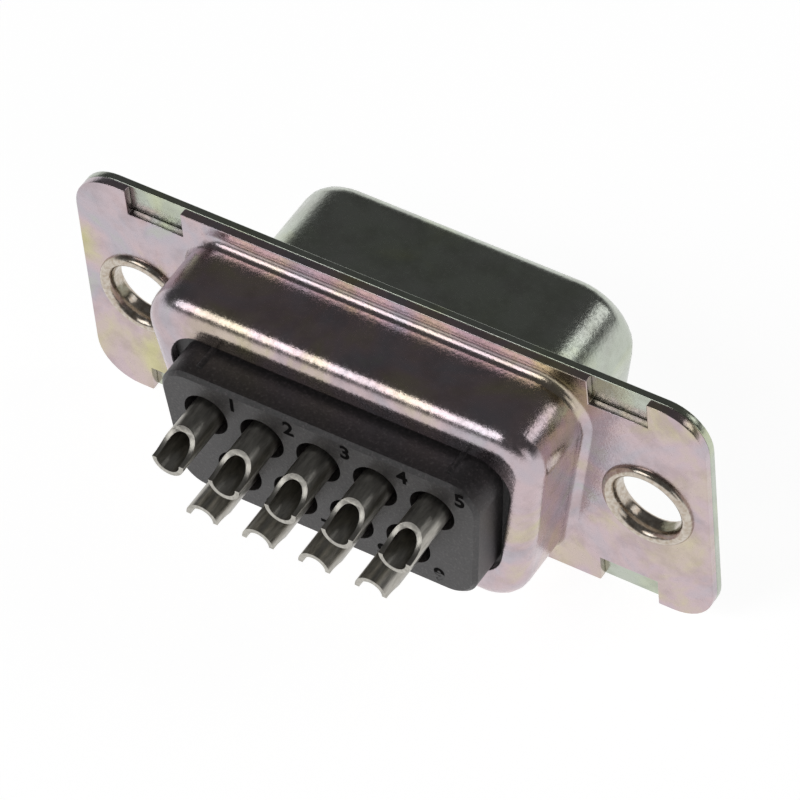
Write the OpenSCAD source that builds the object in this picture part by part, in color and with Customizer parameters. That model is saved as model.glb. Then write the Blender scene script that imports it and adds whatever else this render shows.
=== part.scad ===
// Nine-way D-subminiature socket connector with solder cups, in millimetres.
//
// +X runs along the flange, to the right as seen from the solder side.
// +Y points to the mating side and +Z to the row of five contacts.
// The origin is midway between the mounting holes, on the front face of the flange.

/* [Flange] */
// Distance from a mounting hole to the end of the flange
ear = 2.91; // [2.6:0.01:4]
// Distance from the side of the box to the middle of a mounting hole
hole_land = 2.855; // [2.7:0.005:3.1]
// Height of the flange above and below the box
flange_lip = 0.825; // [0.7:0.005:1.5]
// Corner radius of both flanges
flange_r = 2; // [1:0.1:3]
// Width of a notch in the rear flange
notch_w = 2.8; // [1.5:0.1:3]
// Depth of a notch in the rear flange
notch_depth = 1.4; // [0.5:0.1:1.4]
// Distance from the middle of a notch to the mounting hole, along the flange
notch_inset = 1.195; // [0.8:0.005:1.3]

/* [Front shell] */
// Slant of the short sides of both shells, in degrees
slant = 10; // [7:0.5:12]
// Sheet thickness of the front shell
front_sheet = 0.35; // [0.25:0.01:0.45]
// Distance from an end contact of the row of five to the side of the skirt
skirt_side = 2.625; // [2.5:0.005:2.7]
// Distance from a row of contacts to the top or the bottom of the skirt
skirt_over = 2.53; // [2.4:0.01:2.6]
// Corner radius of the skirt
skirt_r = 2.7; // [2.2:0.1:2.9]
// Length of the skirt in front of the flange
skirt_len = 6.15; // [5.5:0.05:6.6]
// Outside radius of the bend at the mouth of the skirt
skirt_bend = 0.9; // [0.7:0.05:1.1]
// Outside radius of the fillet where the skirt meets its flange
skirt_fillet = 0.5; // [0.2:0.05:0.8]

/* [Rear shell] */
// Sheet thickness of the rear shell
rear_sheet = 0.4; // [0.3:0.01:0.5]
// Distance by which the drawn box stands out all round past the skirt
box_step = 1.475; // [1.4:0.005:1.6]
// Corner radius of the drawn box
box_r = 2; // [1.8:0.1:2.4]
// Distance from the front of the flange to the rear face of the box
box_depth = 4.6; // [4.3:0.05:5.2]
// Outside radius of the bend round the rear face
box_bend = 1; // [0.7:0.05:1.1]
// Outside radius of the fillet where the box meets its flange
box_fillet = 0.45; // [0.2:0.05:0.6]
// Gap between the boss and the sides of the opening in the rear face
mouth_side = 0.485; // [0.3:0.005:0.6]
// Gap between the boss and the top and bottom of the opening
mouth_over = 0.235; // [0.2:0.005:0.4]
// Corner radius of the opening
mouth_r = 1.62; // [1.4:0.02:1.8]
// Radius of the round on the outer edge of the opening
mouth_round = 0.12; // [0.05:0.01:0.2]

/* [Insulators] */
// Gap between a moulding and the shell round it
mould_gap = 0.08; // [0.04:0.01:0.12]
// Distance from the front of the flange to the joint between the mouldings
split_depth = 2.2; // [1.9:0.05:2.6]
// Depth of the moulded boss that stands out of the box
boss_out = 1.66; // [1.2:0.02:2.4]
// Material between an end well and the side of the boss
boss_side = 1.165; // [1:0.005:1.3]
// Material between a row of wells and the top or the bottom of the boss
boss_over = 0.96; // [0.8:0.01:1.05]
// Corner radius of the boss
boss_r = 1.42; // [1:0.02:1.6]
// Slant of the short sides of the boss, in degrees
boss_slant = 5.5; // [4:0.5:9]
// Height by which the front moulding stands proud of the skirt
face_proud = 0.1; // [0:0.05:0.3]
// Chamfer round the end face of the boss
boss_chamfer = 0.18; // [0.1:0.02:0.3]
// Height of the crush nibs on top of the boss
nib_h = 0.08; // [0.05:0.01:0.15]
// Diameter of the round back of a crush nib
nib_d = 0.36; // [0.25:0.01:0.5]
// Length of a crush nib outside the box
nib_len = 1; // [0.5:0.05:1.2]
// Distance from the middle of the boss to a crush nib
nib_x = 6.1; // [5:0.05:6.4]

/* [Contacts] */
// Distance between contacts in one row
pitch = 2.77; // [2.7:0.01:2.8]
// Distance between the two rows
row_gap = 2.84; // [2.8:0.01:2.9]
// Outside diameter of the solder cup and the barrel before it
cup_d = 1.54; // [1.4:0.02:1.6]
// Bore of the solder cup
cup_bore = 1.12; // [0.9:0.02:1.14]
// Length of the solder cup outside the boss
cup_out = 2.95; // [2.5:0.05:4]
// Depth of the bore inside the solder cup
cup_bore_depth = 3.4; // [2.5:0.1:4]
// Length of the half-round tip of the cup
cup_flat = 0.1; // [0.05:0.05:0.6]
// Radius of the milled curve between the tip and the full round of the cup
cup_curve = 1.6; // [1.2:0.05:2]
// Outside diameter of the retaining collar
collar_d = 2.2; // [2:0.05:2.3]
// Length of the retaining collar
collar_len = 0.8; // [0.5:0.05:1]
// Outside diameter of the socket
socket_d = 1.6; // [1.5:0.02:1.7]
// Bore of the socket, for a 1 mm pin
socket_bore = 1.02; // [0.98:0.01:1.1]
// Distance from the front of the skirt back to the tip of the socket
socket_recess = 0.75; // [0.6:0.05:1.2]
// Depth of the socket bore
socket_depth = 5; // [4:0.1:5.5]
// Width of the slots between the tines of the socket
tine_slot = 0.22; // [0.15:0.01:0.3]
// Length of the slots between the tines
tine_len = 3.2; // [2:0.1:3.6]
// Gap between a contact and the hole that holds it
contact_gap = 0.06; // [0.03:0.01:0.1]
// Diameter of the clearance holes round the cups in the boss
well_d = 2.14; // [1.9:0.02:2.3]
// Depth of the clearance holes
well_depth = 2.6; // [1.5:0.1:2.8]
// Diameter of the pin entry holes in the mating face
entry_d = 1.2; // [1.1:0.02:1.4]
// Diameter of the lead-in at each entry hole
lead_in_d = 1.7; // [1.5:0.02:1.9]
// Depth of the lead-in
lead_in = 0.25; // [0.15:0.05:0.4]

/* [Eyelets] */
// Bore of an eyelet, for the mounting screw
eyelet_bore = 3.1; // [3.05:0.01:3.18]
// Wall of an eyelet
eyelet_wall = 0.27; // [0.2:0.01:0.32]
// Radial gap between an eyelet and the flanges
eyelet_gap = 0.03; // [0.02:0.01:0.08]
// Width of the eyelet head in front of the flange, past its barrel
head_lip = 0.36; // [0.3:0.02:0.5]
// Thickness of the eyelet head
head_t = 0.12; // [0.1:0.02:0.3]
// Radius of the bell mouth in the head
head_bell = 0.28; // [0.2:0.02:0.36]
// Height of the clinched rim behind the flange
rim_h = 0.27; // [0.24:0.01:0.5]
// Width of the clinched rim, past the barrel
rim_lip = 0.35; // [0.26:0.01:0.5]
// Radius of the round on the outside of the clinched rim
rim_round = 0.2; // [0.1:0.01:0.25]
// Radius of the flare inside the clinched rim
rim_bell = 0.24; // [0.2:0.02:0.36]

/* [Hidden] */
$fn = 48;

chromate = "#B8AEA4";
moulding = "#2A2829";
tinned = "#B9B6AE";
plated = "#C6C2BA";

// Steps in the arc of each corner and each bend of the drawn shells
corner_steps = 10;
bend_steps = 5;
round_steps = 3;
top_row = 5;
bottom_row = 4;
// Both sheets stacked
flange_t = front_sheet + rear_sheet;
eyelet_hole = eyelet_bore + 2 * eyelet_wall + 2 * eyelet_gap;

// A D outline is [width, height, corner radius, slant]; an inset keeps its corner centres.
function inset(d, by) = [d[0] - 2 * by, d[1] - 2 * by, d[2] - by, d[3]];
skirt = [(top_row - 1) * pitch + 2 * skirt_side, row_gap + 2 * skirt_over, skirt_r, slant];
box = [skirt[0] + 2 * box_step, skirt[1] + 2 * box_step, box_r, slant];
boss = [(top_row - 1) * pitch + well_d + 2 * boss_side, row_gap + well_d + 2 * boss_over,
        boss_r, boss_slant];
mouth = [boss[0] + 2 * mouth_side, boss[1] + 2 * mouth_over, mouth_r, slant];
hole_pitch = box[0] + 2 * hole_land;
flange_w = hole_pitch + 2 * ear;
flange_h = box[1] + 2 * flange_lip;
notch_x = hole_pitch / 2 - notch_inset;
// Rear end faces of the boss and of the cups, along Y
boss_y = -box_depth - boss_out;
cup_y = boss_y - cup_out;
face_y = skirt_len + face_proud;
socket_y = skirt_len - socket_recess;
// The collars of the contacts straddle the joint between the mouldings
collar_front = collar_len / 2 - split_depth;
collar_rear = -collar_len / 2 - split_depth;
collar_hole = collar_d / 2 + contact_gap;
socket_hole = socket_d / 2 + contact_gap;
barrel_hole = cup_d / 2 + contact_gap;

// Corner centres, anticlockwise from the top right
function corners(d) =
    let (x = d[0] / 2 - d[2], z = d[1] / 2 - d[2], foot = x - 2 * z * tan(d[3]))
    [[x, z], [-x, z], [-foot, -z], [foot, -z]];
// Direction in which edge i faces; the edge runs from corner i to corner i + 1
function facing(d, i) = [90, 180 + d[3], 270, 360 - d[3]][i];

// Points of an arc about [x, y]
function arc(x, y, r, from, to, steps) =
    [for (k = [0:steps]) let (a = from + (to - from) * k / steps) [x + r * cos(a), y + r * sin(a)]];

function unit(angle) = [cos(angle), sin(angle)];

// Step k round corner i of a D outline, moved outward by x
function d_point(d, x, i, k) =
    let (from = facing(d, (i + 3) % 4), turn = (facing(d, i) - from + 360) % 360)
    corners(d)[i] + (d[2] + x) * unit(from + turn * k / corner_steps);

// Filled D outline
module d_shape(d) {
    polygon([for (i = [0:3], k = [0:corner_steps]) d_point(d, 0, i, k)]);
}

// Extrudes a figure drawn in X and Z from y = front back to y = back
module slab(front, back) {
    translate([0, front, 0]) rotate([90, 0, 0]) linear_extrude(front - back) children();
}

// Cylinder along Y from y = front back to y = back
module rod(front, back, d) {
    translate([0, front, 0]) rotate([90, 0, 0]) cylinder(h = front - back, d = d);
}

// Turned shape: children are drawn with x as the radius and y along the connector's Y
module turned() {
    rotate([-90, 0, 0]) rotate_extrude() children();
}

// Sheet shell: a flange with a D-shaped wall drawn up from it, swept round as one
// skin. The flange face is at y = 0 and the wall rises to y = rise through a fillet and
// an inward bend, which ends at the outline in mouth. Each step round the D corners
// has its match on the flange corners and on the mouth.
module drawn_shell(d, t, fillet, bend, rise, mouth) {
    // Sections of the skin as [outline, outward distance, y]
    skin = concat(
        [[undef, 0, 0]],
        [for (p = arc(fillet, fillet, fillet, 270, 180, bend_steps)) [d, p[0], p[1]]],
        [for (p = arc(-bend, rise - bend, bend, 0, 90, bend_steps)) [d, p[0], p[1]]],
        mouth == undef ? [] : concat(
            [for (p = arc(mouth_round, rise - mouth_round, mouth_round, 90, 180, round_steps)) [mouth, p[0], p[1]]],
            [[mouth, 0, rise - t]]),
        [for (p = arc(-bend, rise - bend, bend - t, 90, 0, bend_steps)) [d, p[0], p[1]]],
        [for (p = arc(fillet, fillet, fillet + t, 180, 270, bend_steps)) [d, p[0], p[1]]],
        [[undef, 0, -t]]);
    points = [for (i = [0:3], k = [0:corner_steps], s = skin)
        let (xz = s[0] == undef ? flange_point(i, k) : d_point(s[0], s[1], i, k)) [xz[0], s[2], xz[1]]];
    m = len(skin);
    n = 4 * (corner_steps + 1);
    faces = [for (i = [0:n - 1], j = [0:m - 1])
        let (i2 = (i + 1) % n, j2 = (j + 1) % m) [i * m + j, i2 * m + j, i2 * m + j2, i * m + j2]];
    polyhedron(points, faces, convexity = 6);
}

// Step k round corner i of the flange
function flange_point(i, k) =
    [(i == 0 || i == 3 ? 1 : -1) * (flange_w / 2 - flange_r), (i < 2 ? 1 : -1) * (flange_h / 2 - flange_r)]
    + flange_r * unit(90 * (i + k / corner_steps));

module eyelet_holes() {
    for (s = [-1, 1]) translate([s * hole_pitch / 2, 0, 0]) rod(1, -1, eyelet_hole);
}

// The nine places: five above and four below, numbered from the left of the solder side
function place(n) = n <= top_row
    ? [(n - (top_row + 1) / 2) * pitch, row_gap / 2]
    : [(n - top_row - (bottom_row + 1) / 2) * pitch, -row_gap / 2];

module at_places() {
    for (n = [1:top_row + bottom_row]) translate([place(n)[0], 0, place(n)[1]]) children();
}

module front_shell() {
    color(chromate) difference() {
        drawn_shell(skirt, front_sheet, skirt_fillet, skirt_bend, skirt_len, undef);
        eyelet_holes();
    }
}

module rear_shell() {
    color(chromate) translate([0, -flange_t, 0]) difference() {
        mirror([0, 1, 0])
            drawn_shell(box, rear_sheet, box_fillet, box_bend, box_depth - flange_t, mouth);
        eyelet_holes();
        for (x = [-1, 1], z = [-1, 1])
            translate([x * notch_x, 0, z * flange_h / 2])
                cube([notch_w, 4 * rear_sheet, 2 * notch_depth], center = true);
    }
}

module front_insulator() {
    color(moulding) difference() {
        union() {
            slab(-front_sheet, -split_depth) d_shape(inset(box, rear_sheet + mould_gap));
            slab(skirt_len - skirt_bend, -front_sheet - 0.1) d_shape(inset(skirt, front_sheet + mould_gap));
            slab(face_y, 0) d_shape(inset(skirt, skirt_bend + mould_gap));
        }
        at_places() turned() polygon([
            [0, -split_depth - 1], [collar_hole, -split_depth - 1], [collar_hole, collar_front],
            [socket_hole, collar_front], [socket_hole, socket_y + contact_gap],
            [entry_d / 2, socket_y + contact_gap], [entry_d / 2, face_y - lead_in],
            [lead_in_d / 2, face_y], [lead_in_d / 2, face_y + 1], [0, face_y + 1]]);
    }
}

module rear_insulator() {
    // Depth at which the inner bend of the box begins
    bend_y = box_bend - box_depth;
    color(moulding) difference() {
        union() {
            slab(-split_depth, bend_y) d_shape(inset(box, rear_sheet + mould_gap));
            slab(-split_depth, rear_sheet - box_depth) d_shape(inset(box, box_bend + mould_gap));
            hull() {
                slab(-split_depth - 0.1, boss_y + boss_chamfer) d_shape(boss);
                slab(-split_depth - 0.1, boss_y) d_shape(inset(boss, boss_chamfer));
            }
            for (s = [-1, 1])
                translate([s * nib_x, 0, boss[1] / 2 + nib_h - nib_d / 2])
                    rod(-box_depth + rear_sheet + 0.1, -box_depth - nib_len, nib_d);
        }
        at_places() turned() polygon([
            [0, 1 - split_depth], [collar_hole, 1 - split_depth], [collar_hole, collar_rear],
            [barrel_hole, collar_rear], [barrel_hole, boss_y + well_depth],
            [well_d / 2, boss_y + well_depth], [well_d / 2, boss_y - 1], [0, boss_y - 1]]);
    }
}

// Eyelet on the axis of one mounting hole: head in front, clinched rim behind
module eyelet(side) {
    bore = eyelet_bore / 2;
    barrel = bore + eyelet_wall;
    head = barrel + head_lip;
    rim = barrel + rim_lip;
    rear = -flange_t - rim_h;
    color(plated) translate([side * hole_pitch / 2, 0, 0]) turned() polygon(concat(
        arc(bore + rim_bell, rear + rim_bell, rim_bell, 270, 180, bend_steps),
        arc(bore + head_bell, head_t - head_bell, head_bell, 180, 90, bend_steps),
        [[head, head_t], [head, 0], [barrel, 0], [barrel, -flange_t], [rim, -flange_t]],
        arc(rim - rim_round, rear + rim_round, rim_round, 0, -90, bend_steps)));
}

// Turned contact with a solder cup behind and a slotted socket in front.
// opening is +1 where the cup opens upward and -1 where it opens downward.
module contact(n) {
    opening = n <= top_row ? 1 : -1;
    mill = arc(cup_y + cup_flat, cup_curve, cup_curve, 270, 345, 2 * bend_steps);
    mill_end = mill[2 * bend_steps][0];
    color(tinned) translate([place(n)[0], 0, place(n)[1]]) difference() {
        union() {
            rod(collar_front, cup_y, cup_d);
            rod(collar_front, collar_rear, collar_d);
            rod(socket_y, -split_depth, socket_d);
        }
        rod(cup_y + cup_bore_depth, cup_y - 1, cup_bore);
        rod(socket_y + 1, socket_y - socket_depth, socket_bore);
        // Slot that parts the tines
        translate([-socket_d, socket_y - tine_len, -tine_slot / 2])
            cube([2 * socket_d, tine_len + 1, tine_slot]);
        // Mouth of the cup, milled across it
        rotate([0, 0, 90]) rotate([90, 0, 0]) translate([0, 0, -cup_d]) linear_extrude(2 * cup_d)
            polygon([for (p = concat(
                [[cup_y - 1, 0]], mill, [[mill_end, 2 * cup_d], [cup_y - 1, 2 * cup_d]]))
                [p[0], opening * p[1]]]);
    }
}

front_shell();
rear_shell();
front_insulator();
rear_insulator();
eyelet(-1);  // eyelet_left
eyelet(1);  // eyelet_right
contact(1);  // contact_1
contact(2);  // contact_2
contact(3);  // contact_3
contact(4);  // contact_4
contact(5);  // contact_5
contact(6);  // contact_6
contact(7);  // contact_7
contact(8);  // contact_8
contact(9);  // contact_9
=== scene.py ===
import math

import bpy
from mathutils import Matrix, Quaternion, Vector


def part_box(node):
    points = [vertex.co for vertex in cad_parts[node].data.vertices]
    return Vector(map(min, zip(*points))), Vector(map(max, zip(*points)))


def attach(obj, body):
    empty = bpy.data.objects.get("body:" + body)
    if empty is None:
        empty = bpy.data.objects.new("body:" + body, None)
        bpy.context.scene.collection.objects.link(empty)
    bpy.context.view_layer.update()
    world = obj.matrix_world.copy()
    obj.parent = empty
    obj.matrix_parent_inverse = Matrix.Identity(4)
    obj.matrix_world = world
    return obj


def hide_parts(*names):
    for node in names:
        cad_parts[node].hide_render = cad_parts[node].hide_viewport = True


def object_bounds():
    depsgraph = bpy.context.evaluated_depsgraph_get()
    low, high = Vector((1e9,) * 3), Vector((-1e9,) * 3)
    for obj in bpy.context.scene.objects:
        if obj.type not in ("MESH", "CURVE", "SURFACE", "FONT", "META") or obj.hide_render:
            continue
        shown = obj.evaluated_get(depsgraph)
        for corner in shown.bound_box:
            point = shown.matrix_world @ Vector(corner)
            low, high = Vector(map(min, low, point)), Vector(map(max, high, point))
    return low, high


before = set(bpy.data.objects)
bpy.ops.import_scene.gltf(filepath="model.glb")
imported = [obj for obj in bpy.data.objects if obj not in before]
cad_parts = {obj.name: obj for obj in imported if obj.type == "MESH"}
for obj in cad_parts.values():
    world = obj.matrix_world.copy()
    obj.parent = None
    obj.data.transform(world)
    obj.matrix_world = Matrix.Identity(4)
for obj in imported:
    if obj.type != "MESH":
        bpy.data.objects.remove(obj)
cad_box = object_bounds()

MM = 0.001

# Sizes are in millimetres and angles in degrees, unless a heading says otherwise.
SHEET_EDGE = 0.05           # break of a sheared sheet edge
MOULD_EDGE = 0.05           # round that a mould leaves on an edge
EDGE_STEPS = 3              # facets across such an edge
SMOOTH_ANGLE = 32           # facets that meet more flatly than this shade as one curve
FACET_ANGLE = 0.4           # facets that meet more flatly than this are joined
FLAT_WEIGHT = 60            # how firmly a large face keeps its own normal
MERGE = 0.0005              # points nearer than this are one point
ROUND_STEPS = 96            # steps round a turned piece
AXIS_RADIUS = 0.001         # where an outline begins and ends if the piece is closed on its axis

# Contacts, along the axis from the end of the solder cup at the back to the socket tip
TOP_ROW = 5
CONTACTS = 9
PITCH = 2.77
ROW_GAP = 2.84
CUP_RADIUS = 0.77
CUP_BORE = 0.56
CUP_END = -9.21
CUP_BOTTOM = -5.81
CUP_EDGE = 0.03
MILL_RADIUS = 1.6           # curve milled across the mouth of the cup
MILL_START = 0.1            # from the end of the cup to the lowest point of that curve
DRILL_POINT = 59            # half the point angle of the drill that bores the cup
COLLAR_RADIUS = 1.1
COLLAR_REAR = -2.6
COLLAR_FRONT = -1.8
SOCKET_RADIUS = 0.8
SOCKET_BORE = 0.51
SOCKET_TIP = 5.4
SOCKET_BOTTOM = 0.4
TINE_SLOT = 0.22
TINE_LENGTH = 3.2
SLOT_PAST = 1.0             # run-out of the slot cutter in front of the tip

# Eyelets
EYELET_PLACE = 12.495
EYELET_BORE = 1.55
EYELET_BARREL = 1.82
EYELET_HEAD = 2.18
HEAD_HEIGHT = 0.12
HEAD_ROUND = 0.06
HEAD_BELL = 0.28
SEAT = -0.75                # rear face of the rear flange
CREST = -1.02               # top of the clinched rim
CREST_RADIUS = 1.90
RIM_RADIUS = 2.17
THROAT = -0.42              # where the bore begins to flare into the rim

# Printed numbers
DIGIT_HEIGHT = 0.74
FONT_OVER_DIGIT = 1.42      # nominal size of the font over the height of its figures
DIGIT_BOLD = 0.03           # outward offset of the strokes
DIGIT_RIGHT = 1.42          # from the middle of a well to the middle of its number
DIGIT_UP = 1.33             # numbers of the upper row
DIGIT_DOWN = 1.24           # numbers of the lower row
DIGIT_DEPTH = 0.01

# The camera looks down on the solder side from the right
VIEW_AZIMUTH = 36.44        # from -Y towards +X
VIEW_ELEVATION = 48.17
VIEW_ROLL = -6.16
VIEW_DISTANCE = 268.64      # from the point looked at
VIEW_LENS = 287.83          # on a 36 mm sensor
VIEW_SHIFT = (-0.014, -0.607)   # from the origin to the point looked at, right and up

# Studio, in metres
FLOOR_SIZE = 2.4
# Name, direction from the connector, distance, side of the square, radiance
SOFTBOXES = (
    ("key_softbox", (-0.40, -0.64, 0.66), 0.55, 0.26, 2.3),
    ("fill_softbox", (0.9, -0.5, 0.35), 0.7, 0.30, 0.8),
    ("rim_softbox", (0.62, 0.54, 0.57), 0.6, 0.20, 1.3))


# ---------------------------------------------------------------- helpers

def deselect_all():
    bpy.ops.object.select_all(action="DESELECT")


def make_active(piece):
    deselect_all()
    piece.select_set(True)
    bpy.context.view_layer.objects.active = piece


def apply_modifiers(piece):
    make_active(piece)
    for modifier in list(piece.modifiers):
        bpy.ops.object.modifier_apply(modifier=modifier.name)


def edit(piece):
    """Opens one piece in edit mode with all of it selected."""
    make_active(piece)
    bpy.ops.object.mode_set(mode="EDIT")
    bpy.ops.mesh.select_all(action="SELECT")


def leave_edit():
    bpy.ops.object.mode_set(mode="OBJECT")


def smooth(piece):
    make_active(piece)
    bpy.ops.object.shade_smooth_by_angle(angle=math.radians(SMOOTH_ANGLE))


def hex_linear(colour):
    """Linear RGBA of an sRGB hex colour."""
    channels = [int(colour[i:i + 2], 16) / 255 for i in (1, 3, 5)]
    linear = [c / 12.92 if c <= 0.04045 else ((c + 0.055) / 1.055) ** 2.4 for c in channels]
    return (*linear, 1.0)


def new_material(name):
    material = bpy.data.materials.new(name)
    material.use_nodes = True
    material.node_tree.nodes.clear()
    return material, material.node_tree


def add_node(tree, kind, values=None, links=None, stops=None, **attributes):
    """Adds one node: values and links are by socket, stops are the (place, hex colour) pairs of a
    colour ramp."""
    node = tree.nodes.new(kind)
    for name, value in attributes.items():
        setattr(node, name, value)
    for socket, value in (values or {}).items():
        node.inputs[socket].default_value = value
    for socket, output in (links or {}).items():
        tree.links.new(output, node.inputs[socket])
    for i, (place, colour) in enumerate(stops or ()):
        elements = node.color_ramp.elements
        element = elements[i] if i < 2 else elements.new(1.0)
        element.position = place
        element.color = hex_linear(colour)
    return node


# ---------------------------------------------------------------- pieces

def finish_edges(piece, edge_round):
    """Breaks the sharp edges, then shades the curves smooth and keeps the flats flat."""
    bevel = piece.modifiers.new("broken_edge", "BEVEL")
    bevel.width = edge_round * MM
    bevel.segments = EDGE_STEPS
    bevel.limit_method = "ANGLE"
    bevel.angle_limit = math.radians(SMOOTH_ANGLE)
    bevel.use_clamp_overlap = True
    apply_modifiers(piece)
    smooth(piece)
    flats = piece.modifiers.new("flats_stay_flat", "WEIGHTED_NORMAL")
    flats.keep_sharp = True
    flats.weight = FLAT_WEIGHT
    apply_modifiers(piece)


def dress(piece, material, node):
    piece.data.materials.clear()
    piece.data.materials.append(material)
    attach(piece, "root")
    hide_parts(node)


def finished_copy(node, edge_round):
    """Copy of a CAD node with its facets joined, its edges broken and its curves smooth."""
    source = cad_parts[node]
    piece = source.copy()
    piece.data = source.data.copy()
    piece.name = node + "_finished"
    piece.parent = None
    for key in list(piece.keys()):
        del piece[key]
    bpy.context.scene.collection.objects.link(piece)
    edit(piece)
    bpy.ops.mesh.remove_doubles(threshold=MERGE * MM)
    bpy.ops.mesh.dissolve_limited(angle_limit=math.radians(FACET_ANGLE))
    leave_edit()
    finish_edges(piece, edge_round)
    return piece


def turned(name, outline):
    """Closed body of revolution about the Y axis. The outline is a ring of (radius, y) points:
    a circle is extruded from one to the next and its ends are bridged or closed on the axis."""
    deselect_all()
    radius, y = outline[0]
    bpy.ops.mesh.primitive_circle_add(vertices=ROUND_STEPS, radius=radius * MM, location=(0, 0, 0))
    piece = bpy.context.object
    piece.name = name
    edit(piece)
    bpy.ops.transform.translate(value=(0, 0, -y * MM))
    for next_radius, next_y in outline[1:]:
        step = (0, 0, (y - next_y) * MM)
        bpy.ops.mesh.extrude_region_move(TRANSFORM_OT_translate={"value": step})
        scale = next_radius / radius
        bpy.ops.transform.resize(value=(scale, scale, 1), center_override=(0, 0, -next_y * MM))
        radius, y = next_radius, next_y
    bpy.ops.mesh.select_all(action="DESELECT")
    bpy.ops.mesh.select_non_manifold(
        extend=False, use_wire=False, use_boundary=True, use_multi_face=False,
        use_non_contiguous=False, use_verts=False)
    if outline[0][0] == AXIS_RADIUS:
        bpy.ops.mesh.fill_holes(sides=0)
    else:
        bpy.ops.mesh.bridge_edge_loops()
    bpy.ops.mesh.select_all(action="SELECT")
    bpy.ops.mesh.remove_doubles(threshold=MERGE * MM)
    bpy.ops.mesh.normals_make_consistent(inside=False)
    leave_edit()
    piece.rotation_euler = (math.radians(90), 0, 0)
    make_active(piece)
    bpy.ops.object.transform_apply(location=True, rotation=True, scale=True)
    return piece


def cut_away(piece, cutter):
    cut = piece.modifiers.new("cut", "BOOLEAN")
    cut.operation = "DIFFERENCE"
    cut.solver = "EXACT"
    cut.object = cutter
    apply_modifiers(piece)
    make_active(cutter)
    bpy.ops.object.delete()


def move_mesh(piece, x, z):
    make_active(piece)
    piece.location = (x * MM, 0, z * MM)
    bpy.ops.object.transform_apply(location=True, rotation=False, scale=False)


def arc(middle_radius, middle_y, across, along, start, end, steps):
    """Points of an elliptic arc in the outline of a turned piece."""
    angles = [math.radians(start + (end - start) * i / steps) for i in range(steps + 1)]
    return [(middle_radius + across * math.cos(a), middle_y + along * math.sin(a)) for a in angles]


def eyelet(node, side, material):
    """Tubular eyelet: flared head in front and a rim rolled over behind."""
    flare = arc(CREST_RADIUS, THROAT, CREST_RADIUS - EYELET_BORE, CREST - THROAT, 180, 90, 12)
    rim = arc(CREST_RADIUS, SEAT, RIM_RADIUS - CREST_RADIUS, CREST - SEAT, 90, 0, 10)
    barrel = [(EYELET_BARREL, SEAT), (EYELET_BARREL, 0.0), (EYELET_HEAD - HEAD_ROUND / 2, 0.0)]
    head = arc(EYELET_HEAD - HEAD_ROUND, HEAD_HEIGHT - HEAD_ROUND, HEAD_ROUND, HEAD_ROUND, -40, 90, 5)
    bell = arc(EYELET_BORE + HEAD_BELL, HEAD_HEIGHT - HEAD_BELL, HEAD_BELL, HEAD_BELL, 90, 180, 8)
    outline = flare + rim[1:] + barrel + head + bell
    piece = turned(node + "_rolled", outline)
    move_mesh(piece, side * EYELET_PLACE, 0)
    smooth(piece)
    dress(piece, material, node)


def contact_shape(name, opening):
    """Turned contact on the Y axis. opening is +1 where the cup opens upward, -1 downward."""
    drill_tip = CUP_BOTTOM + CUP_BORE / math.tan(math.radians(DRILL_POINT))
    socket_tip = SOCKET_BOTTOM - SOCKET_BORE / math.tan(math.radians(DRILL_POINT))
    outline = [
        (AXIS_RADIUS, drill_tip), (CUP_BORE, CUP_BOTTOM), (CUP_BORE, CUP_END), (CUP_RADIUS, CUP_END),
        (CUP_RADIUS, COLLAR_REAR), (COLLAR_RADIUS, COLLAR_REAR), (COLLAR_RADIUS, COLLAR_FRONT),
        (SOCKET_RADIUS, COLLAR_FRONT), (SOCKET_RADIUS, SOCKET_TIP), (SOCKET_BORE, SOCKET_TIP),
        (SOCKET_BORE, SOCKET_BOTTOM), (AXIS_RADIUS, socket_tip)]
    piece = turned(name, outline)
    deselect_all()
    bpy.ops.mesh.primitive_cylinder_add(
        vertices=2 * ROUND_STEPS, radius=MILL_RADIUS * MM, depth=4 * CUP_RADIUS * MM,
        rotation=(0, math.radians(90), 0),
        location=(0, (CUP_END + MILL_START) * MM, opening * MILL_RADIUS * MM))
    cut_away(piece, bpy.context.object)
    deselect_all()
    slot_middle = SOCKET_TIP + (SLOT_PAST - TINE_LENGTH) / 2
    bpy.ops.mesh.primitive_cube_add(size=MM, location=(0, slot_middle * MM, 0))
    slot = bpy.context.object
    slot.scale = (4 * SOCKET_RADIUS, TINE_LENGTH + SLOT_PAST, TINE_SLOT)
    bpy.ops.object.transform_apply(location=True, rotation=True, scale=True)
    cut_away(piece, slot)
    finish_edges(piece, CUP_EDGE)
    return piece


def well_centre(number):
    """X and Z of a contact. One to five run above, six to nine below."""
    if number <= TOP_ROW:
        return (number - (1 + TOP_ROW) / 2) * PITCH, ROW_GAP / 2
    return (number - (1 + TOP_ROW + CONTACTS) / 2) * PITCH, -ROW_GAP / 2


def placed_contact(number, shape, material):
    x, z = well_centre(number)
    piece = shape.copy()
    piece.data = shape.data.copy()
    piece.name = "contact_%d_turned" % number
    bpy.context.scene.collection.objects.link(piece)
    move_mesh(piece, x, z)
    dress(piece, material, "contact_%d" % number)


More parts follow.
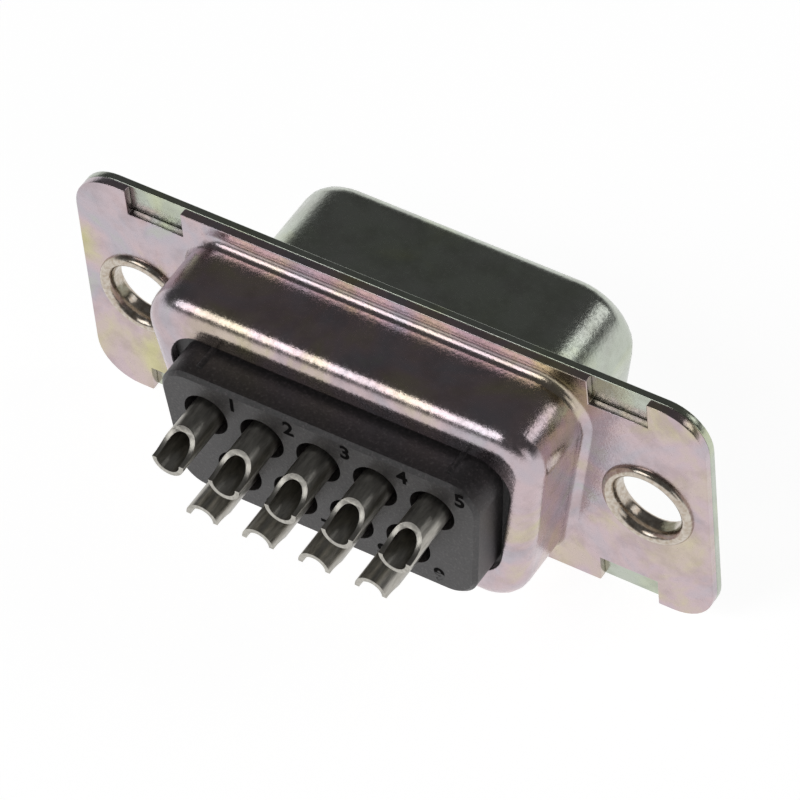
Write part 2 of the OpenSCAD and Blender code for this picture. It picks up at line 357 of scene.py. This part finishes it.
def contact_number(number, face_y, ink):
    """Printed number of one contact, to the right of its well and nearer the edge of the boss."""
    x, z = well_centre(number)
    z += DIGIT_UP if number <= TOP_ROW else -DIGIT_DOWN
    deselect_all()
    bpy.ops.object.text_add(location=(0, 0, 0))
    text = bpy.context.object
    text.name = "number_%d" % number
    text.data.body = str(number)
    text.data.size = DIGIT_HEIGHT * FONT_OVER_DIGIT * MM
    text.data.offset = DIGIT_BOLD * MM
    text.data.align_x = "CENTER"
    text.data.align_y = "CENTER"
    text.data.extrude = DIGIT_DEPTH * MM
    bpy.ops.object.convert(target="MESH")
    piece = bpy.context.object
    piece.rotation_euler = (math.radians(90), 0, 0)
    piece.location = ((x + DIGIT_RIGHT) * MM, face_y, z * MM)
    bpy.ops.object.transform_apply(location=True, rotation=True, scale=True)
    piece.data.materials.clear()
    piece.data.materials.append(ink)
    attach(piece, "root")


# ---------------------------------------------------------------- finishes

def millimetres(tree, stretch=(1, 1, 1)):
    """Object coordinates counted in millimetres, for patterns drawn at their real size."""
    place = add_node(tree, "ShaderNodeTexCoord")
    scale = tuple(s / MM for s in stretch)
    counted = add_node(tree, "ShaderNodeMapping", {"Scale": scale}, {"Vector": place.outputs["Object"]})
    return counted.outputs["Vector"]


def chromated_zinc(name, clouds, tint_scale, seed):
    """Drawn steel, zinc plated and clear chromated: a glossy pale grey whose film shows soft
    clouds of pink, green and straw. Drawing has roughened the sheet with a grain of about
    0.15 mm, which breaks up the light on every bend."""
    material, tree = new_material(name)
    place = millimetres(tree)
    film_noise = add_node(
        tree, "ShaderNodeTexNoise",
        {"W": seed, "Scale": tint_scale, "Detail": 4.0, "Roughness": 0.55, "Distortion": 0.6},
        {"Vector": place}, noise_dimensions="4D")
    film = add_node(tree, "ShaderNodeValToRGB", None, {"Fac": film_noise.outputs["Fac"]}, clouds)
    stain_noise = add_node(tree, "ShaderNodeTexNoise", {"Scale": 0.8, "Detail": 5.0, "Roughness": 0.6},
                           {"Vector": place})
    stain = add_node(tree, "ShaderNodeValToRGB", None, {"Fac": stain_noise.outputs["Fac"]},
                     [(0.36, "#EEEDEC"), (0.56, "#FFFFFF")])
    colour = add_node(
        tree, "ShaderNodeMix", {"Factor": 1.0},
        {6: film.outputs["Color"], 7: stain.outputs["Color"]}, data_type="RGBA", blend_type="MULTIPLY")
    grain = add_node(tree, "ShaderNodeTexNoise", {"Scale": 6.5, "Detail": 3.0, "Roughness": 0.6},
                     {"Vector": place})
    gloss = add_node(tree, "ShaderNodeMapRange",
                     {"From Min": 0.3, "From Max": 0.7, "To Min": 0.14, "To Max": 0.30},
                     {"Value": grain.outputs["Fac"]})
    relief = add_node(tree, "ShaderNodeBump", {"Strength": 1.0, "Distance": 0.009 * MM},
                      {"Height": grain.outputs["Fac"]})
    metal = add_node(tree, "ShaderNodeBsdfPrincipled", {"Metallic": 1.0},
                     {"Base Color": colour.outputs[2], "Roughness": gloss.outputs["Result"],
                      "Normal": relief.outputs["Normal"]})
    add_node(tree, "ShaderNodeOutputMaterial", None, {"Surface": metal.outputs["BSDF"]})
    return material


def zinc_eyelet():
    """Zinc on a rolled steel eyelet: smoother than the drawn sheet, with a warm grey film."""
    material, tree = new_material("zinc_plated_eyelet")
    place = millimetres(tree)
    grain = add_node(tree, "ShaderNodeTexNoise", {"Scale": 5.0, "Detail": 3.0}, {"Vector": place})
    colour = add_node(tree, "ShaderNodeValToRGB", None, {"Fac": grain.outputs["Fac"]},
                      [(0.35, "#B3A596"), (0.65, "#CDC5BA")])
    gloss = add_node(tree, "ShaderNodeMapRange", {"To Min": 0.12, "To Max": 0.30},
                     {"Value": grain.outputs["Fac"]})
    relief = add_node(tree, "ShaderNodeBump", {"Strength": 1.0, "Distance": 0.006 * MM},
                      {"Height": grain.outputs["Fac"]})
    metal = add_node(tree, "ShaderNodeBsdfPrincipled", {"Metallic": 1.0},
                     {"Base Color": colour.outputs["Color"], "Roughness": gloss.outputs["Result"],
                      "Normal": relief.outputs["Normal"]})
    add_node(tree, "ShaderNodeOutputMaterial", None, {"Surface": metal.outputs["BSDF"]})
    return material


def glass_filled_moulding():
    """Glass-filled thermoplastic, moulded black: charcoal and satin, with the fine pitting of a
    spark-eroded tool and paler flecks of glass at the surface."""
    material, tree = new_material("glass_filled_moulding")
    place = millimetres(tree)
    fine = add_node(tree, "ShaderNodeTexNoise", {"Scale": 7.0, "Detail": 5.0, "Roughness": 0.75},
                    {"Vector": place})
    colour = add_node(tree, "ShaderNodeValToRGB", None, {"Fac": fine.outputs["Fac"]},
                      [(0.38, "#2B292A"), (0.55, "#3A3738"), (0.68, "#625C5D")])
    relief = add_node(tree, "ShaderNodeBump", {"Strength": 1.0, "Distance": 0.02 * MM},
                      {"Height": fine.outputs["Fac"]})
    plastic = add_node(tree, "ShaderNodeBsdfPrincipled", {"Roughness": 0.40, "IOR": 1.62},
                       {"Base Color": colour.outputs["Color"], "Normal": relief.outputs["Normal"]})
    add_node(tree, "ShaderNodeOutputMaterial", None, {"Surface": plastic.outputs["BSDF"]})
    return material


def tinned_contact():
    """Tin plate on a turned copper alloy: semi-bright grey, drawn out in fine streaks along the
    contact where it was handled and plated."""
    material, tree = new_material("tinned_contact")
    streak_place = millimetres(tree, (1.0, 0.22, 1.0))
    streaks = add_node(tree, "ShaderNodeTexNoise", {"Scale": 6.0, "Detail": 4.0, "Roughness": 0.65},
                       {"Vector": streak_place})
    colour = add_node(tree, "ShaderNodeValToRGB", None, {"Fac": streaks.outputs["Fac"]},
                      [(0.32, "#9C9992"), (0.68, "#C2BFB7")])
    gloss = add_node(tree, "ShaderNodeMapRange", {"To Min": 0.24, "To Max": 0.44},
                     {"Value": streaks.outputs["Fac"]})
    relief = add_node(tree, "ShaderNodeBump", {"Strength": 1.0, "Distance": 0.008 * MM},
                      {"Height": streaks.outputs["Fac"]})
    metal = add_node(tree, "ShaderNodeBsdfPrincipled", {"Metallic": 1.0},
                     {"Base Color": colour.outputs["Color"], "Roughness": gloss.outputs["Result"],
                      "Normal": relief.outputs["Normal"]})
    add_node(tree, "ShaderNodeOutputMaterial", None, {"Surface": metal.outputs["BSDF"]})
    return material


def marking_ink():
    """Black pad-printing ink: flat, a little thin where the pad pressed less."""
    material, tree = new_material("pad_printing_ink")
    place = millimetres(tree)
    cover = add_node(tree, "ShaderNodeTexNoise", {"Scale": 8.0, "Detail": 3.0}, {"Vector": place})
    colour = add_node(tree, "ShaderNodeValToRGB", None, {"Fac": cover.outputs["Fac"]},
                      [(0.45, "#060505"), (0.75, "#141212")])
    ink = add_node(tree, "ShaderNodeBsdfPrincipled", {"Roughness": 0.9, "Specular IOR Level": 0.1},
                   {"Base Color": colour.outputs["Color"]})
    add_node(tree, "ShaderNodeOutputMaterial", None, {"Surface": ink.outputs["BSDF"]})
    return material


# ---------------------------------------------------------------- studio

def seen_directly(tree):
    """1 for camera, mirror and see-through rays, 0 for the light that falls on things."""
    path = add_node(tree, "ShaderNodeLightPath")
    first = add_node(
        tree, "ShaderNodeMath", None,
        {0: path.outputs["Is Camera Ray"], 1: path.outputs["Is Glossy Ray"]}, operation="MAXIMUM")
    both = add_node(
        tree, "ShaderNodeMath", None,
        {0: first.outputs[0], 1: path.outputs["Is Transmission Ray"]}, operation="MAXIMUM")
    return both.outputs[0]


def white_floor(height):
    """White board under the connector. It is white wherever it is seen and keeps the shadow."""
    deselect_all()
    bpy.ops.mesh.primitive_plane_add(size=FLOOR_SIZE, location=(0, 0, height))
    floor = bpy.context.object
    floor.name = "floor"
    material, tree = new_material("white_board")
    board = add_node(tree, "ShaderNodeBsdfDiffuse", {"Color": (0.8, 0.8, 0.8, 1)})
    soft = add_node(tree, "ShaderNodeBsdfDiffuse", {"Color": (0.32, 0.32, 0.32, 1)})
    glow = add_node(tree, "ShaderNodeEmission", {"Strength": 0.92})
    seen = add_node(tree, "ShaderNodeAddShader", None, {0: soft.outputs[0], 1: glow.outputs[0]})
    mix = add_node(tree, "ShaderNodeMixShader", None,
                   {"Fac": seen_directly(tree), 1: board.outputs[0], 2: seen.outputs[0]})
    add_node(tree, "ShaderNodeOutputMaterial", None, {"Surface": mix.outputs[0]})
    floor.data.materials.append(material)


def softbox(name, direction, distance, size, radiance):
    """Square area lamp aimed at the connector. Radiance 1 looks like white paper."""
    light = bpy.data.lights.new(name, "AREA")
    light.shape = "SQUARE"
    light.size = size
    light.energy = radiance * math.pi * size * size
    lamp = bpy.data.objects.new(name, light)
    bpy.context.scene.collection.objects.link(lamp)
    towards = Vector(direction).normalized()
    lamp.location = towards * distance
    lamp.rotation_mode = "QUATERNION"
    lamp.rotation_quaternion = towards.to_track_quat("Z", "Y")


def studio_world():
    """Small product studio: white near the horizon, a darker band above it and a dim ceiling.
    The camera itself sees white."""
    world = bpy.data.worlds.new("studio")
    bpy.context.scene.world = world
    world.use_nodes = True
    tree = world.node_tree
    tree.nodes.clear()
    direction = add_node(tree, "ShaderNodeTexCoord")
    axes = add_node(tree, "ShaderNodeSeparateXYZ", None, {"Vector": direction.outputs["Generated"]})
    height = add_node(tree, "ShaderNodeMapRange", {"From Min": -1.0, "From Max": 1.0},
                      {"Value": axes.outputs["Z"]})
    room = add_node(tree, "ShaderNodeValToRGB", None, {"Fac": height.outputs["Result"]}, [
        (0.50, "#F6F6F6"), (0.55, "#E4E4E4"), (0.61, "#777777"), (0.70, "#4A4A4A"), (0.86, "#505050")])
    path = add_node(tree, "ShaderNodeLightPath")
    mix = add_node(tree, "ShaderNodeMix", {7: (1, 1, 1, 1)},
                   {0: path.outputs["Is Camera Ray"], 6: room.outputs["Color"]}, data_type="RGBA")
    sky = add_node(tree, "ShaderNodeBackground", None, {"Color": mix.outputs[2]})
    add_node(tree, "ShaderNodeOutputWorld", None, {"Surface": sky.outputs["Background"]})


def camera():
    """Long lens, so that the connector keeps its perspective."""
    azimuth, elevation = math.radians(VIEW_AZIMUTH), math.radians(VIEW_ELEVATION)
    back = Vector((math.sin(azimuth) * math.cos(elevation),
                   -math.cos(azimuth) * math.cos(elevation), math.sin(elevation)))
    turn = back.to_track_quat("Z", "Y") @ Quaternion((0, 0, 1), math.radians(VIEW_ROLL))
    lens = bpy.data.cameras.new("camera")
    lens.lens = VIEW_LENS
    lens.sensor_width = 36
    lens.clip_start = 0.01
    lens.clip_end = 10
    body = bpy.data.objects.new("camera", lens)
    bpy.context.scene.collection.objects.link(body)
    body.rotation_mode = "QUATERNION"
    body.rotation_quaternion = turn
    body.location = turn @ Vector((VIEW_SHIFT[0] * MM, VIEW_SHIFT[1] * MM, 0)) + back * VIEW_DISTANCE * MM
    bpy.context.scene.camera = body


# ---------------------------------------------------------------- the connector

rear_zinc = chromated_zinc("chromated_zinc_rear", [
    (0.32, "#CCC69C"), (0.42, "#C8BAAC"), (0.50, "#C7B4B8"), (0.60, "#BAB2BA"), (0.72, "#B4BBAC")], 0.24, 3.0)
front_zinc = chromated_zinc("chromated_zinc_front", [
    (0.30, "#C4CAAE"), (0.45, "#BAC1B4"), (0.60, "#BEC2BA"), (0.75, "#A9B2A4")], 0.26, 7.0)
eyelet_zinc = zinc_eyelet()
plastic = glass_filled_moulding()
tin = tinned_contact()
ink = marking_ink()

dress(finished_copy("rear_shell", SHEET_EDGE), rear_zinc, "rear_shell")
dress(finished_copy("front_shell", SHEET_EDGE), front_zinc, "front_shell")
for moulding in ("front_insulator", "rear_insulator"):
    dress(finished_copy(moulding, MOULD_EDGE), plastic, moulding)
eyelet("eyelet_left", -1, eyelet_zinc)
eyelet("eyelet_right", 1, eyelet_zinc)

cup_up = contact_shape("cup_up", 1)
cup_down = contact_shape("cup_down", -1)
boss_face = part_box("rear_insulator")[0][1]
for number in range(1, CONTACTS + 1):
    placed_contact(number, cup_up if number <= TOP_ROW else cup_down, tin)
    contact_number(number, boss_face, ink)
for pattern in (cup_up, cup_down):
    make_active(pattern)
    bpy.ops.object.delete()

camera()
studio_world()
white_floor(cad_box[0][2])
for softbox_values in SOFTBOXES:
    softbox(*softbox_values)

bpy.context.scene.view_settings.view_transform = "Standard"
